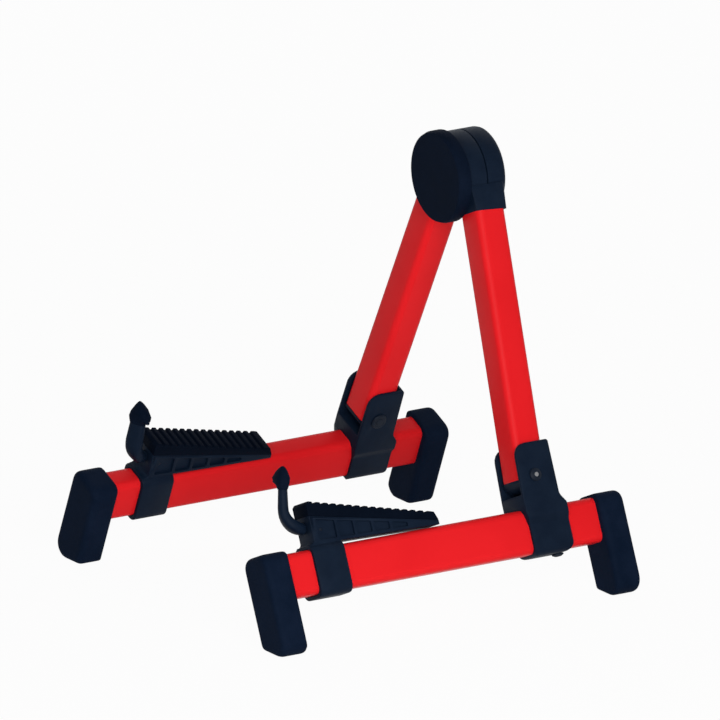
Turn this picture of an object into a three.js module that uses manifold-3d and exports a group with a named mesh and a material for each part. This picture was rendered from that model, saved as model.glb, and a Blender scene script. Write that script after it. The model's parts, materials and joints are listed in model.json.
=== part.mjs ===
// Folding guitar stand: two leaning foot bars, two uprights and a round hub.
// Millimetres, +Z up, the floor at Z = 0, the front of the stand towards -Y.
// One leg is drawn in its own frame: x points outward, y backward, z up along the leg.
// The other leg is its mirror image.

import * as THREE from "three";
import { mergeVertices } from "three/addons/utils/BufferGeometryUtils.js";
import Module from "manifold-3d";

// Stance of the two legs
const leg_lean_deg = 23.6; // each leg plane leans inward from upright
const upright_lean_deg = 4.28; // the upright leans back from its foot bar
const bar_spread = 113.2; // middle of the stand to the middle of a foot bar
const bar_height = 46.3; // floor to the middle of a foot bar

// Foot bar, an extruded tube
const bar_width = 19.5;
const bar_depth = 30.3;
const bar_corner = 5;
const bar_wall = 1.6;

// Upright, an extruded tube
const upright_width = 24.3;
const upright_depth = 22.3;
const upright_corner = 4.4;
const upright_wall = 1.7;

// Feet
const foot_inner_face = 121.3; // middle of the stand to the inner face of a foot
const foot_thick = 19.8;
const foot_width = 31;
const foot_rise = 2.2; // above the bar's top
const foot_corner = 8;
const foot_edge = 3.9;
const foot_tuck = 2.6; // how far the rounding of the inner face is cut back
const foot_toe = 4.3; // rounding of the lower inner corner
const foot_heel = 10; // rounding of the lower outer corner
const foot_facets = 4;
const spigot_long = 17;
const spigot_wall = 2.4;

// Pivot bracket
const pivot_back = 77.45; // middle of the stand to the upright's pivot
const pivot_rise = 21.2; // bar's top to the pivot
const band_front = 10.6; // ahead of the pivot
const band_rear = 19.9; // behind the pivot
const band_wall = 2;
const band_corner = 6;
const ear_wall = 2.1;
const pivot_washer_thick = 0.5;
const pivot_washer_radius = 8;
const ear_foot_front = 12.9;
const ear_front = 11.2;
const ear_rear = 15.6;
const ear_tall = 22.4; // pivot to the top of the ears
const ear_nose = 8.7; // rounding of the front upper corner
const ear_step_high = 5.5; // below the bar's top, where the ears run into the band
const ear_step_low = 11;
const ear_edge = 0.9;
const core_wall = 2.4;
const core_height = 4.6;
const bracket_screw_back = 12.5; // behind the pivot

// Fixings
const pin_radius = 3;
const pin_head_radius = 4.3;
const pin_head_tall = 2;
const retainer_radius = 5.6;
const retainer_thick = 1.5;
const screw_radius = 2.1;
const screw_head_radius = 4;
const screw_head_tall = 2;
const screw_past_wall = 3;

// Hub
const hub_up = 265.8; // floor to the hub's axis
const hub_radius = 29.4;
const hub_front_depth = 13.5; // hub's middle plane to its front
const hub_rear_depth = 15.2;
const hub_front_edge = 1;
const hub_rear_edge = 3;
const hub_shoulder_drop = 0.6; // hub's rim down to the end of the upright
const hub_block_corner = 4.6;
const hub_block_inset = 0.3; // how far a shoulder block stays inside the upright's outline
const hub_block_drop = 5; // hub axis down to the top of a shoulder block
const hub_block_round = 11;
const hub_tail_drop = 12; // hub axis down to the top of a block's thin side
const washer_thick = 0.9;
const pad_overhang = 1.9; // past the rim of the hub
const pad_thick = 9.6;
const pad_edge = 2.8;
const pad_dish_radius = 21;
const pad_dish_deep = 0.8;
const bolt_radius = 4;
const bolt_head_radius = 7.2;
const bolt_head_tall = 4.4;
const bolt_end_inset = 1;
const nut_tall = 6.4;
const flat_washer_radius = 8;
const flat_washer_thick = 1.4;
const rear_pocket_radius = 10.5;
const rear_pocket_deep = 8.6;
const cap_radius = 12.5;
const cap_tall = 2.2;
const cap_skirt_tall = 3.4;
const cap_skirt_wall = 1.4;
const stop_orbit = 18; // hub axis to the stop peg
const stop_peg_radius = 2.4;
const stop_peg_tall = 2.6;
const legs_closed_deg = 3; // what is left between the legs when they are closed
const stop_start_deg = 64; // where the peg stands in the rear half
const hub_spigot_long = 24;

// Cradle: a sliding collar with a wedge that carries a ribbed pad
const collar_front = -101.6;
const collar_long = 24.8;
const collar_wall = 2.4;
const collar_corner = 6;
const wedge_front = -97.3;
const wedge_rear = 0.3;
const wedge_width = 19.3;
const seat_front_rise = 21.9; // these four above the bar's top
const seat_rear_rise = 3.7;
const under_front_rise = 2.6;
const under_rear_rise = 0.7;
const wedge_edge = 0.7;
const wedge_chin = 3;
const panel_deep = 2;
const panel_frame = 2.2;
const panel_corner = 1.1;
const panel_count = 4; // recesses in each side of the wedge behind the collar
const panel_end = 22; // last recess to the wedge's rear
const pad_front_rise = 31.9; // ribs above the bar's top
const pad_rear_rise = 9;
const pad_nose = 2.2;
const pad_toe = 2.4; // how far the pad's rear end slants
const rib_count = 16;
const rib_tall = 1.5;
const rib_crest_share = 0.5;
const rib_flank_share = 0.12;
const tongue_width = 6;
const tongue_tall = 1.6;
const tongue_start = 24; // behind the wedge's front
const tongue_end = 12; // ahead of the wedge's rear

// Lip: a bent finger that keeps the guitar on the pad
const lip_rise = 14.9; // bar's top to the axis that the lip turns on
const lip_outward_deg = -2; // how far outward of the leg plane the whole lip stands
const lip_stem_out = 7; // how far its stem leans outward over its height
const lip_root_long = 14;
const lip_root_radius = 3.2;
const lip_elbow_ahead = 11.9; // wedge front to the start of the stem
const lip_elbow_up = 16; // lip axis to the start of the stem
const lip_stem_tall = 25.4;
const lip_stem_back = 2.6; // how far the stem leans back over its height
const lip_half_width = 6;
const lip_half_thick = 3.6;
const lip_twist_deg = 31; // the stem's outer edge is turned to the front
const lip_cap_tall = 14;
const lip_cap_wall = 1.3;
const lip_cap_tip = 1.4; // closed end above the stem
const lip_beak_long = 12.8;
const lip_beak_up = 6.6; // below the lip's tip
const lip_beak_tall = 2.6;
const lip_bend_front_share = 0.55; // pull of the bend's ends, as shares of the elbow's reach
const lip_bend_up_share = 0.6;
const lip_swell_share = 0.4; // part of the bend over which the section grows
const lip_tip_inset_share = 0.3; // how far the arm's end is narrowed inside the cap
// Stations of the cap: share of its height, then its width, thickness and shift inward as shares
// of the stem's sizes, and how much of the stem's twist it keeps
const lip_cap_shares = [
  [0, 1, 1.1, 0, 1],
  [0.16, 1.06, 1.18, 0.06, 0.8],
  [0.34, 1.34, 1.28, 0.3, 0.4],
  [0.54, 1.34, 1.3, 0.3, 0.2],
  [0.8, 0.98, 1.14, 0.16, 0.2],
  [0.94, 0.62, 0.86, 0.06, 0.2],
  [1, 0.34, 0.5, 0, 0.2],
];
// Stations of the beak: share of its length, then width and height as shares of its height
const lip_beak_shares = [
  [0, 1.5, 1.3],
  [0.6, 0.95, 0.75],
  [0.9, 0.6, 0.45],
  [1, 0.3, 0.2],
];
const lip_square_share = 0.72; // below 1 the section is squarer than an ellipse
const lip_pin_radius = 1.1;
const lip_pin_back = 8;

// Clearances and numbers for cuts and curves
const slide_gap = 0.35; // round a piece that slides on a bar
const press_gap = 0.12; // round a piece that is pressed or clamped in place
const seat_gap = 0.06; // between two faces that rest on each other
const swing_gap = 0.45; // round a piece that turns
const washer_gap = 0.1; // on each side of a pivot washer
const bore_gap = 0.2; // round a pin
const overrun = 5; // how far a cutter runs past the face that it opens
const root_depth = 1; // how far joined pieces of one moulding run into each other
const arc_steps = 5;
const round_steps = 40;
const hub_round_steps = 60;
const small_round_steps = 20;
const loft_steps = 20;

const leg_lean = THREE.MathUtils.degToRad(leg_lean_deg);
const upright_lean = THREE.MathUtils.degToRad(upright_lean_deg);
const bar_top = bar_depth / 2;
const pivot_up = bar_top + pivot_rise;
const ear_top = pivot_up + ear_tall;
const lip_up = bar_top + lip_rise;
const hub_rise = hub_up - bar_height;
const hub_offset = bar_spread * Math.cos(leg_lean) - hub_rise * Math.sin(leg_lean);
const hub_along_leg = bar_spread * Math.sin(leg_lean) + hub_rise * Math.cos(leg_lean);
const upright_reach = (hub_along_leg - pivot_up) / Math.cos(upright_lean);
const hub_back = pivot_back + upright_reach * Math.sin(upright_lean);
const hub_shoulder = hub_radius + hub_shoulder_drop;
const upright_long = upright_reach - hub_shoulder;
const fork_half = upright_width / 2 + pivot_washer_thick + 2 * washer_gap;
const ear_half = fork_half + ear_wall;
const hub_mate = washer_thick / 2 + seat_gap;
const pad_radius = hub_radius + pad_overhang;

const red_paint = new THREE.MeshStandardMaterial({
  color: new THREE.Color().setRGB(0.86, 0.1, 0.12, THREE.SRGBColorSpace),
  roughness: 0.42,
  metalness: 0.35,
});
const black_plastic = new THREE.MeshStandardMaterial({
  color: new THREE.Color().setRGB(0.07, 0.08, 0.11, THREE.SRGBColorSpace),
  roughness: 0.55,
  metalness: 0,
});
const black_rubber = new THREE.MeshStandardMaterial({
  color: new THREE.Color().setRGB(0.06, 0.07, 0.09, THREE.SRGBColorSpace),
  roughness: 0.85,
  metalness: 0,
});
const bright_steel = new THREE.MeshStandardMaterial({
  color: new THREE.Color().setRGB(0.8, 0.8, 0.82, THREE.SRGBColorSpace),
  roughness: 0.3,
  metalness: 1,
});
const white_nylon = new THREE.MeshStandardMaterial({
  color: new THREE.Color().setRGB(0.85, 0.85, 0.82, THREE.SRGBColorSpace),
  roughness: 0.5,
  metalness: 0,
});

const wasm = await Module();
wasm.setup();

// A closed geometry as a solid, turned the right way out
function solid(geometry) {
  const bare = geometry.clone();
  bare.deleteAttribute("normal");
  bare.deleteAttribute("uv");
  const merged = mergeVertices(bare);
  const index = merged.index.array;
  const kept = [];
  for (let i = 0; i < index.length; i += 3) {
    const [a, b, c] = [index[i], index[i + 1], index[i + 2]];
    if (a !== b && b !== c && a !== c) kept.push(a, b, c);
  }
  const make = (order) =>
    new wasm.Manifold(
      new wasm.Mesh({
        numProp: 3,
        vertProperties: merged.attributes.position.array,
        triVerts: new Uint32Array(order),
      }),
    );
  const made = make(kept);
  return made.volume() < 0 ? make(kept.reverse()) : made;
}

function geometryOf(made) {
  const mesh = made.getMesh();
  const geometry = new THREE.BufferGeometry();
  const position = new THREE.BufferAttribute(new Float32Array(mesh.vertProperties), 3);
  geometry.setAttribute("position", position);
  geometry.setIndex(new THREE.BufferAttribute(new Uint32Array(mesh.triVerts), 1));
  const flat = geometry.toNonIndexed();
  flat.computeVertexNormals();
  return flat;
}

// Joins, cuts and overlaps of plain geometries
function joined(...geometries) {
  return geometryOf(geometries.map(solid).reduce((sum, next) => sum.add(next)));
}

function cut(body, ...tools) {
  return geometryOf(tools.map(solid).reduce((left, tool) => left.subtract(tool), solid(body)));
}

function common(...geometries) {
  return geometryOf(geometries.map(solid).reduce((sum, next) => sum.intersect(next)));
}

// Corners are [x, y, radius]; the result is a list of points with those corners rounded
function rounded(corners) {
  const points = [];
  corners.forEach(([x, y, radius = 0], i) => {
    const here = new THREE.Vector2(x, y);
    if (radius === 0) {
      points.push(here);
      return;
    }
    const before = corners[(i + corners.length - 1) % corners.length];
    const after = corners[(i + 1) % corners.length];
    const back = new THREE.Vector2(before[0], before[1]).sub(here).normalize();
    const ahead = new THREE.Vector2(after[0], after[1]).sub(here).normalize();
    const half = Math.acos(THREE.MathUtils.clamp(back.dot(ahead), -1, 1)) / 2;
    const reach = radius / Math.tan(half);
    const middle = back.clone().add(ahead).normalize();
    const centre = here.clone().addScaledVector(middle, radius / Math.sin(half));
    const from = here.clone().addScaledVector(back, reach).sub(centre);
    const to = here.clone().addScaledVector(ahead, reach).sub(centre);
    const start = Math.atan2(from.y, from.x);
    let turn = Math.atan2(to.y, to.x) - start;
    turn = Math.atan2(Math.sin(turn), Math.cos(turn));
    for (let k = 0; k <= arc_steps; k++) {
      const angle = start + (turn * k) / arc_steps;
      const spoke = new THREE.Vector2(Math.cos(angle), Math.sin(angle));
      points.push(centre.clone().addScaledVector(spoke, radius));
    }
  });
  return points;
}

function roundedBox(x0, x1, y0, y1, radius) {
  return rounded([
    [x0, y0, radius],
    [x1, y0, radius],
    [x1, y1, radius],
    [x0, y1, radius],
  ]);
}

function centredBox(width, height, radius) {
  return roundedBox(-width / 2, width / 2, -height / 2, height / 2, radius);
}

function extruded(points, length, edge, facets = 2) {
  return new THREE.ExtrudeGeometry(new THREE.Shape(points), {
    depth: length - 2 * edge,
    bevelEnabled: edge > 0,
    bevelThickness: edge,
    bevelSize: edge,
    bevelOffset: -edge,
    bevelSegments: facets,
    steps: 1,
  }).translate(0, 0, edge);
}

// Prisms along x, y and z; the outline is given in the two other axes
function prismX(points, x0, x1, edge = 0) {
  const turn = new THREE.Matrix4().makeBasis(
    new THREE.Vector3(0, 1, 0),
    new THREE.Vector3(0, 0, 1),
    new THREE.Vector3(1, 0, 0),
  );
  return extruded(points, x1 - x0, edge).applyMatrix4(turn).translate(x0, 0, 0);
}

function prismY(points, y0, y1, edge = 0, facets = 2) {
  const turn = new THREE.Matrix4().makeBasis(
    new THREE.Vector3(1, 0, 0),
    new THREE.Vector3(0, 0, 1),
    new THREE.Vector3(0, -1, 0),
  );
  return extruded(points, y1 - y0, edge, facets).applyMatrix4(turn).translate(0, y1, 0);
}

function prismZ(points, z0, z1, edge = 0) {
  return extruded(points, z1 - z0, edge).translate(0, 0, z0);
}

function roundBarX(radius, x0, x1, steps = small_round_steps) {
  return new THREE.CylinderGeometry(radius, radius, x1 - x0, steps)
    .rotateZ(Math.PI / 2)
    .translate((x0 + x1) / 2, 0, 0);
}

function roundBarY(radius, y0, y1, steps = small_round_steps) {
  return new THREE.CylinderGeometry(radius, radius, y1 - y0, steps).translate(0, (y0 + y1) / 2, 0);
}

function roundBarZ(radius, z0, z1, steps = small_round_steps) {
  return new THREE.CylinderGeometry(radius, radius, z1 - z0, steps)
    .rotateX(Math.PI / 2)
    .translate(0, 0, (z0 + z1) / 2);
}

// A body turned about the y axis from a profile of [radius, y]
function turned(profile, steps = round_steps) {
  return new THREE.LatheGeometry(
    profile.map(([radius, y]) => new THREE.Vector2(radius, y)),
    steps,
  );
}

// A body lofted through rings; each station has a centre, a tangent, the way of its width, two
// half sizes and how square its section is
function lofted(stations) {
  const position = [];
  const index = [];
  const squared = (value, power) => Math.sign(value) * Math.abs(value) ** power;
  stations.forEach(({ centre, tangent, side, wide, thick, square }) => {
    const across = side.clone().addScaledVector(tangent, -side.dot(tangent)).normalize();
    const normal = new THREE.Vector3().crossVectors(tangent, across).normalize();
    for (let k = 0; k < loft_steps; k++) {
      const angle = (2 * Math.PI * k) / loft_steps;
      const point = centre
        .clone()
        .addScaledVector(across, wide * squared(Math.cos(angle), square))
        .addScaledVector(normal, thick * squared(Math.sin(angle), square));
      position.push(point.x, point.y, point.z);
    }
  });
  const last = stations.length - 1;
  for (let i = 0; i < last; i++)
    for (let k = 0; k < loft_steps; k++) {
      const a = i * loft_steps + k;
      const b = i * loft_steps + ((k + 1) % loft_steps);
      index.push(a, b, b + loft_steps, a, b + loft_steps, a + loft_steps);
    }
  [0, last].forEach((station) => {
    const { centre } = stations[station];
    const middle = position.length / 3;
    position.push(centre.x, centre.y, centre.z);
    for (let k = 0; k < loft_steps; k++) {
      const a = station * loft_steps + k;
      const b = station * loft_steps + ((k + 1) % loft_steps);
      if (station === 0) index.push(middle, b, a);
      else index.push(middle, a, b);
    }
  });
  const geometry = new THREE.BufferGeometry();
  geometry.setAttribute("position", new THREE.Float32BufferAttribute(position, 3));
  geometry.setIndex(index);
  return geometry;
}

function add(group, name, geometry, material) {
  const mesh = new THREE.Mesh(geometryOf(solid(geometry)), material);
  mesh.name = name;
  group.add(mesh);
  return mesh;
}

const bar_section = centredBox(bar_width, bar_depth, bar_corner);
const bar_bore = centredBox(
  bar_width - 2 * bar_wall,
  bar_depth - 2 * bar_wall,
  bar_corner - bar_wall,
);
const tube_bore_width = upright_width - 2 * upright_wall;
const tube_bore_depth = upright_depth - 2 * upright_wall;
const tube_bore_corner = upright_corner - upright_wall;

// The same solid on the other side of the plane y = 0
function mirroredY(geometry) {
  return geometry.clone().scale(1, -1, 1);
}

function footBar() {
  const half = foot_inner_face - seat_gap;
  const tube = prismY(bar_section, -half, half);
  const bore = prismY(bar_bore, -half - overrun, half + overrun);
  const hole = roundBarZ(screw_radius + bore_gap, -bar_depth, 0);
  return cut(tube, bore, hole.translate(0, pivot_back + bracket_screw_back, 0));
}

// Height of the floor in the leg's own frame, at a distance outward of the bar's middle
function floorAt(x) {
  return -(bar_height + x * Math.sin(leg_lean)) / Math.cos(leg_lean);
}

// A foot: a block with rounded edges, flat where it meets the floor, and a spigot for the bar
function rearFoot() {
  const half = foot_width / 2;
  const top = bar_top + foot_rise;
  const y0 = foot_inner_face;
  const y1 = foot_inner_face + foot_thick;
  const face = rounded([
    [-half, top, foot_corner],
    [-half, floorAt(-half), foot_toe],
    [half, floorAt(half), foot_heel],
    [half, top, foot_corner],
  ]);
  const plan = rounded([
    [-half, y0, foot_edge],
    [half, y0, foot_edge],
    [half, y1 + overrun],
    [-half, y1 + overrun],
  ]);
  const block = common(
    prismY(face, y0 - foot_tuck, y1, foot_edge, foot_facets),
    prismZ(plan, floorAt(half) - overrun, top + overrun),
  );
  const width = bar_width - 2 * bar_wall - 2 * press_gap;
  const depth = bar_depth - 2 * bar_wall - 2 * press_gap;
  const corner = bar_corner - bar_wall;
  const outer = centredBox(width, depth, corner);
  const inner = centredBox(width - 2 * spigot_wall, depth - 2 * spigot_wall, corner);
  const spigot = cut(
    prismY(outer, y0 - spigot_long, y0 + root_depth),
    prismY(inner, y0 - spigot_long - overrun, y0 - spigot_wall),
  );
  return joined(block, spigot);
}

// The moulded bracket: a band round the bar, ears that blend into it, and a fork open to the front
function pivotBracket() {
  const y = pivot_back;
  const band_half = bar_depth / 2 + press_gap + band_wall;
  const band_side = bar_width / 2 + press_gap + band_wall;
  const front = y - band_front;
  const rear = y + band_rear;
  const side = rounded([
    [front, -band_half, band_corner / 2],
    [rear, -band_half, band_corner],
    [rear, bar_top, band_corner / 2],
    [y + ear_rear, bar_top + band_corner, band_corner],
    [y + ear_rear, ear_top, 2 * ear_edge],
    [y - ear_front, ear_top, ear_nose],
    [y - ear_foot_front, band_half + band_corner, band_corner],
    [y - ear_foot_front, bar_top - band_wall, band_corner / 2],
    [front, bar_top - 2 * band_corner, band_corner / 2],
  ]);
  const shape = rounded([
    [-band_side, -band_half, band_corner],
    [band_side, -band_half, band_corner],
    [band_side, bar_top - ear_step_low, band_corner],
    [ear_half, bar_top - ear_step_high, band_corner],
    [ear_half, ear_top, ear_edge],
    [-ear_half, ear_top, ear_edge],
    [-ear_half, bar_top - ear_step_high, band_corner],
    [-band_side, bar_top - ear_step_low, band_corner],
  ]);
  const body = common(
    prismX(side, -ear_half, ear_half, ear_edge),
    prismY(shape, front - overrun, rear + overrun),
  );
  const hug = centredBox(bar_width + 2 * press_gap, bar_depth + 2 * press_gap, bar_corner);
  const passage = prismY(hug, front - 2 * overrun, rear + overrun);
  const radius = upright_depth / 2 + swing_gap;
  const height = ear_top - pivot_up + overrun;
  const fork_side = rounded([
    [y - 3 * radius, pivot_up - radius],
    [y + radius, pivot_up - radius, radius],
    [y + radius, pivot_up],
    [y + radius + height * Math.tan(upright_lean), pivot_up + height],
    [y - 3 * radius, pivot_up + height],
  ]);
  const fork = prismX(fork_side, -fork_half, fork_half);
  const core_low = bar_depth / 2 + press_gap + core_wall;
  const core_box = roundedBox(
    -fork_half,
    fork_half,
    core_low,
    core_low + core_height,
    core_wall / 2,
  );
  const core = prismY(core_box, y - ear_front + 2 * core_wall, rear + overrun);
  const pin = roundBarX(pin_radius + bore_gap, -ear_half - overrun, ear_half + overrun);
  const screw = roundBarZ(screw_radius + bore_gap, -band_half - overrun, 0);
  return cut(
    body,
    passage,
    fork,
    core,
    pin.translate(0, y, pivot_up),
    screw.translate(0, y + bracket_screw_back, 0),
  );
}

function bracketScrew() {
  const under = -bar_depth / 2 - press_gap - band_wall;
  const tip = band_wall + press_gap + bar_wall + screw_past_wall;
  const head = turned(
    [
      [0, screw_head_tall],
      [screw_head_radius / 2, screw_head_tall],
      [screw_head_radius, screw_head_tall / 2],
      [screw_head_radius, seat_gap],
      [screw_radius, seat_gap],
      [screw_radius, -tip],
      [0, -tip],
    ],
    small_round_steps,
  );
  return head.rotateX(-Math.PI / 2).translate(0, pivot_back + bracket_screw_back, under);
}

// A turned piece on the pivot's axis; its profile runs outward along x
function onPivot(profile) {
  return turned(profile, small_round_steps)
    .rotateZ(-Math.PI / 2)
    .translate(0, pivot_back, pivot_up);
}

// The pivot pin, its domed head on the outer ear
function pivotPin() {
  const outer = ear_half + seat_gap;
  const inner = -ear_half - seat_gap - retainer_thick - bore_gap;
  return onPivot([
    [0, inner],
    [pin_radius - bore_gap, inner],
    [pin_radius, inner + bore_gap],
    [pin_radius, outer],
    [pin_head_radius, outer],
    [pin_head_radius, outer + pin_head_tall / 2],
    [pin_head_radius / 2, outer + pin_head_tall],
    [0, outer + pin_head_tall],
  ]);
}

function pinRetainer() {
  const face = -ear_half - seat_gap;
  const hole = pin_radius + seat_gap;
  return onPivot([
    [hole, face - retainer_thick],
    [retainer_radius - retainer_thick / 2, face - retainer_thick],
    [retainer_radius, face - retainer_thick / 2],
    [retainer_radius, face],
    [hole, face],
    [hole, face - retainer_thick],
  ]);
}

// A thin ring between the upright and an ear
function pivotWasher(way) {
  const hole = pin_radius + bore_gap;
  const inner = way * (upright_width / 2 + washer_gap);
  const outer = inner + way * pivot_washer_thick;
  return onPivot([
    [hole, inner],
    [pivot_washer_radius, inner],
    [pivot_washer_radius, outer],
    [hole, outer],
    [hole, inner],
  ]);
}

// Pieces of the upright are drawn with the pivot as origin and z along the tube
function nosed(body, radius) {
  const wide = 2 * radius;
  const side = rounded([
    [-radius, -radius, radius],
    [radius, -radius, radius],
    [radius, 0],
    [wide, 0],
    [wide, upright_long + wide],
    [-wide, upright_long + wide],
    [-wide, 0],
    [-radius, 0],
  ]);
  return common(body, prismX(side, -upright_width, upright_width));
}

function uprightTube() {
  const low = -upright_depth / 2;
  const section = centredBox(upright_width, upright_depth, upright_corner);
  const inside = centredBox(tube_bore_width, tube_bore_depth, tube_bore_corner);
  const tube = prismZ(section, low, upright_long);
  const bore = prismZ(inside, low - overrun, upright_long + overrun);
  const hole = roundBarX(pin_radius + bore_gap, -upright_width, upright_width);
  return cut(nosed(tube, upright_depth / 2), bore, hole);
}

// The plug that closes the lower end round the pin, cored from above
function uprightPlug() {
  const width = tube_bore_width - 2 * press_gap;
  const depth = tube_bore_depth - 2 * press_gap;
  const long = upright_depth;
  const section = centredBox(width, depth, tube_bore_corner);
  const plug = prismZ(section, -upright_depth / 2, long);
  const side = width / 2 - core_wall;
  const back = depth / 2 - core_wall;
  const cell = roundedBox(core_wall / 2, side, -back, back, core_wall / 2);
  const pocket = prismZ(cell, pin_radius + core_wall, long + overrun);
  const other = pocket.clone().rotateZ(Math.PI);
  const hole = roundBarX(pin_radius + bore_gap, -upright_width, upright_width);
  return cut(nosed(plug, upright_depth / 2 - press_gap), pocket, other, hole);
}

// Takes geometry drawn on the tube's axis into a frame with the hub's axis as origin
function onTube(geometry) {
  return geometry
    .rotateX(-upright_lean)
    .translate(hub_offset, pivot_back - hub_back, pivot_up - hub_along_leg);
}

// The shoulder between a half disc and its upright, relieved where the other half turns
function hubShoulder(is_front) {
  const depth = hub_front_depth + hub_rear_depth - 2 * hub_block_inset;
  const section = centredBox(upright_width, depth, hub_block_corner);
  const post = onTube(prismZ(section, upright_long + seat_gap, upright_reach));
  const side = hub_offset + upright_width / 2 - hub_block_inset;
  const low = -2 * hub_radius;
  const outline = rounded([
    [0, low],
    [side, low],
    [side, -hub_block_drop, hub_block_round],
    [0, -hub_block_drop],
  ]);
  const block = common(post, prismY(outline, -hub_front_depth, hub_rear_depth));
  const far = is_front ? [-hub_mate, hub_radius] : [-hub_radius, hub_mate];
  const sweep = roundBarY(hub_radius + swing_gap, ...far, hub_round_steps);
  const tail = roundedBox(0, 2 * hub_radius, -hub_tail_drop, hub_radius, 0);
  return cut(joined(block, hubSpigot()), sweep, prismY(tail, ...far));
}

function hubSpigot() {
  const width = tube_bore_width - 2 * press_gap;
  const depth = tube_bore_depth - 2 * press_gap;
  const low = upright_long - hub_spigot_long;
  const outer = centredBox(width, depth, tube_bore_corner);
  const inner = centredBox(width - 2 * spigot_wall, depth - 2 * spigot_wall, tube_bore_corner);
  const spigot = cut(
    prismZ(outer, low, upright_long + root_depth),
    prismZ(inner, low - overrun, upright_long - spigot_wall),
  );
  return onTube(spigot);
}

// An arc groove with round ends, that the stop peg runs in while the legs close
function stopGroove(face) {
  const radius = stop_peg_radius + swing_gap;
  const start = Math.PI - THREE.MathUtils.degToRad(stop_start_deg) - 2 * leg_lean;
  const end = start + 2 * leg_lean - THREE.MathUtils.degToRad(legs_closed_deg);
  const spoke = (angle, reach) =>
    new THREE.Vector2(reach * Math.cos(angle), reach * Math.sin(angle));
  const points = [];
  const arc = (centre, reach, from, to) => {
    for (let k = 0; k <= 2 * arc_steps; k++)
      points.push(spoke(from + ((to - from) * k) / (2 * arc_steps), reach).add(centre));
  };
  const middle = new THREE.Vector2();
  arc(middle, stop_orbit + radius, start, end);
  arc(spoke(end, stop_orbit), radius, end, end + Math.PI);
  arc(middle, stop_orbit - radius, end, start);
  arc(spoke(start, stop_orbit), radius, start + Math.PI, start + 2 * Math.PI);
  return prismY(points, face - stop_peg_tall - swing_gap, face + overrun);
}

// The front half, on the right leg: a recess for the bolt's head and the stop groove
function hubFrontHalf() {
  const y0 = -hub_front_depth;
  const y1 = -hub_mate;
  const disc = turned(
    [
      [0, y0],
      [hub_radius - hub_front_edge, y0],
      [hub_radius, y0 + hub_front_edge],
      [hub_radius, y1],
      [0, y1],
    ],
    hub_round_steps,
  );
  const whole = joined(disc, hubShoulder(true));
  const bore = roundBarY(bolt_radius + bore_gap, y0 - overrun, y1 + overrun);
  const recess = y0 + bolt_head_tall + bore_gap;
  const hex = hexBar(bolt_head_radius + bore_gap, y0 - overrun, recess);
  return cut(whole, bore, hex, stopGroove(y1));
}

// The rear half, on the left leg: a pocket for the nut and the stop peg
function hubRearHalf() {
  const y0 = hub_mate;
  const y1 = hub_rear_depth;
  const edge = hub_rear_edge;
  const disc = turned(
    [
      [0, y0],
      [hub_radius, y0],
      [hub_radius, y1 - edge],
      [hub_radius - edge * (1 - Math.cos(Math.PI / 6)), y1 - edge / 2],
      [hub_radius - edge * (1 - Math.cos(Math.PI / 3)), y1 - edge * (1 - Math.sin(Math.PI / 3))],
      [hub_radius - edge, y1],
      [0, y1],
    ],
    hub_round_steps,
  );
  const whole = joined(disc, hubShoulder(false));
  const bore = roundBarY(bolt_radius + bore_gap, y0 - overrun, y1 + overrun);
  const pocket = roundBarY(rear_pocket_radius, y1 - rear_pocket_deep, y1 + overrun, round_steps);
  const peg = roundBarY(stop_peg_radius, y0 - stop_peg_tall, y0 + root_depth);
  peg.translate(stop_orbit, 0, 0).rotateY(-THREE.MathUtils.degToRad(stop_start_deg));
  return joined(cut(whole, bore, pocket), peg);
}

// A six-sided prism along y
function hexBar(radius, y0, y1) {
  return new THREE.CylinderGeometry(radius, radius, y1 - y0, 6).translate(0, (y0 + y1) / 2, 0);
}

function ring(inner, outer, y0, y1, steps = round_steps) {
  return turned(
    [
      [inner, y0],
      [outer, y0],
      [outer, y1],
      [inner, y1],
      [inner, y0],
    ],
    steps,
  );
}

function hubPad() {
  const y1 = -hub_front_depth - seat_gap;
  const y0 = y1 - pad_thick;
  return turned(
    [
      [0, y0 + pad_dish_deep],
      [pad_dish_radius - pad_dish_deep, y0 + pad_dish_deep],
      [pad_dish_radius, y0],
      [pad_radius - pad_edge, y0],
      [pad_radius - pad_edge * (1 - Math.SQRT1_2), y0 + pad_edge * (1 - Math.SQRT1_2)],
      [pad_radius, y0 + pad_edge],
      [pad_radius, y1],
      [0, y1],
    ],
    hub_round_steps,
  );
}

function hubWasher() {
  const outer = stop_orbit - stop_peg_radius - 2 * swing_gap;
  return ring(bolt_radius + bore_gap, outer, -washer_thick / 2, washer_thick / 2);
}

function hubBolt() {
  const head = -hub_front_depth + seat_gap;
  return joined(
    hexBar(bolt_head_radius, head, head + bolt_head_tall),
    roundBarY(bolt_radius, head + root_depth, hub_rear_depth - bolt_end_inset),
  );
}

const pocket_floor = hub_rear_depth - rear_pocket_deep;

function hubFlatWasher() {
  const y0 = pocket_floor + seat_gap;
  return ring(bolt_radius + bore_gap, flat_washer_radius, y0, y0 + flat_washer_thick);
}

function hubNut() {
  const y0 = pocket_floor + 2 * seat_gap + flat_washer_thick;
  return cut(
    hexBar(bolt_head_radius, y0, y0 + nut_tall),
    roundBarY(bolt_radius + seat_gap, y0 - overrun, y0 + nut_tall + overrun),
  );
}

// A push-in cap that closes the pocket over the nut
function hubCap() {
  const face = hub_rear_depth + seat_gap;
  const skirt = rear_pocket_radius - press_gap;
  return turned([
    [0, face],
    [skirt - cap_skirt_wall, face],
    [skirt - cap_skirt_wall, face - cap_skirt_tall],
    [skirt, face - cap_skirt_tall],
    [skirt, face],
    [cap_radius, face],
    [cap_radius, face + cap_tall / 3],
    [cap_radius - cap_tall, face + cap_tall],
    [0, face + cap_tall],
  ]);
}

// Heights of the wedge's underside, of its seat and of the pad's ribs at a place along the bar
function between(y, front, rear) {
  return front + ((y - wedge_front) / (wedge_rear - wedge_front)) * (rear - front);
}

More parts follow.
